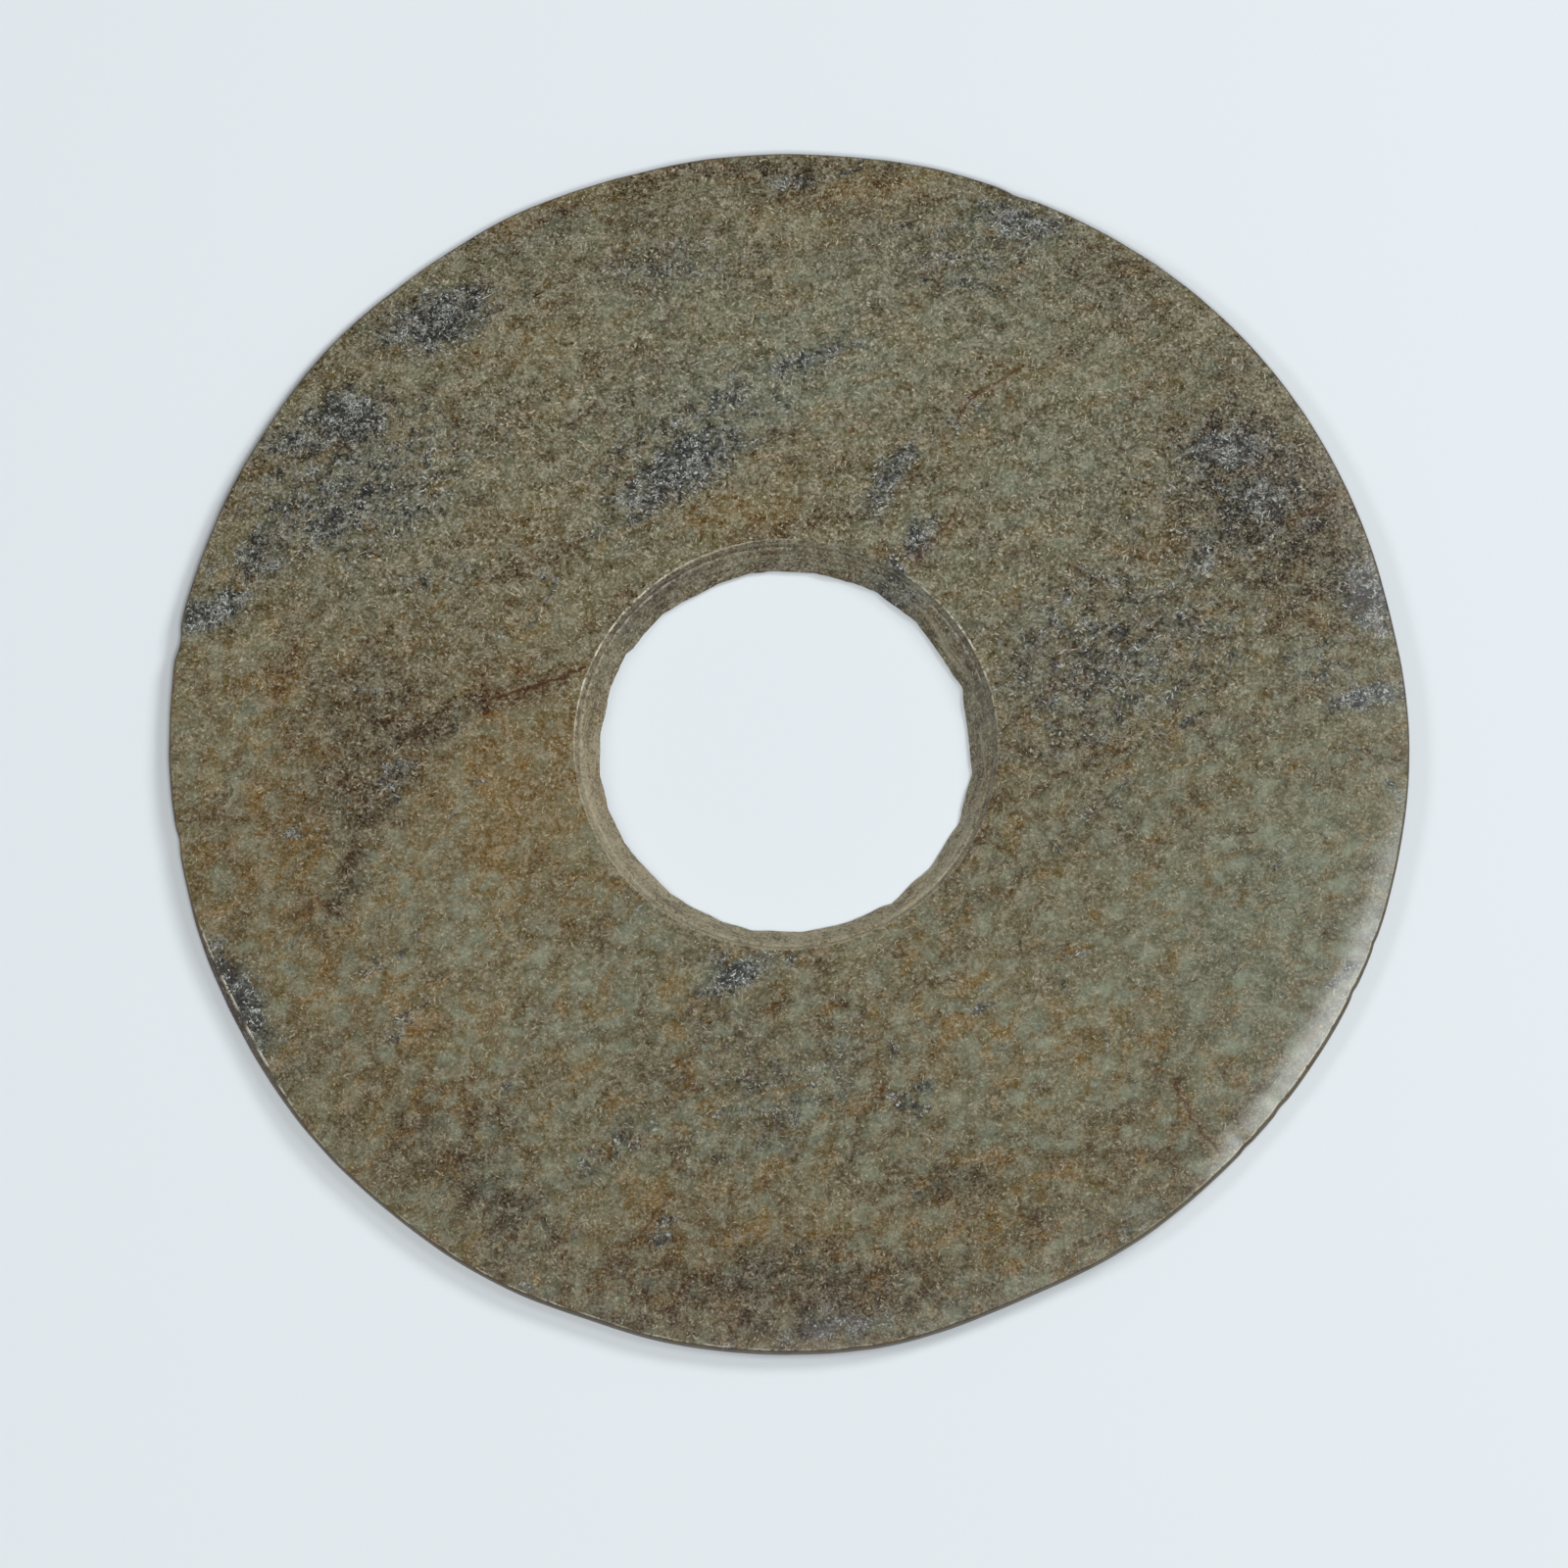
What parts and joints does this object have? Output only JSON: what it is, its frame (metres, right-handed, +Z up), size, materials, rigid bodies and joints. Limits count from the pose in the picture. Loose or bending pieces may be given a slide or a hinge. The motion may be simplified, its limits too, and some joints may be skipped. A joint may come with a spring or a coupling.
{
  "type": "jade bi disc",
  "caption": "Flat ring of polished mottled nephrite with a round tapered bore, chipped at its lower edge, and a thin ground rim; lies on its underside.",
  "frame": {"origin": "centre of the outline on the flat underside, where the disc rests", "axes": "+Z up through the disc's thickness, towards the face with the wider bore mouth; +X to the right and +Y away from the viewer of the picture"},
  "size_m": [0.2002, 0.2, 0.0056],
  "materials": {
    "nephrite": "satin-polished nephrite, mottled olive brown, grey green and graphite"
  },
  "bodies": {
    "root": {"jade_disc": "nephrite"}
  },
  "joints": []
}
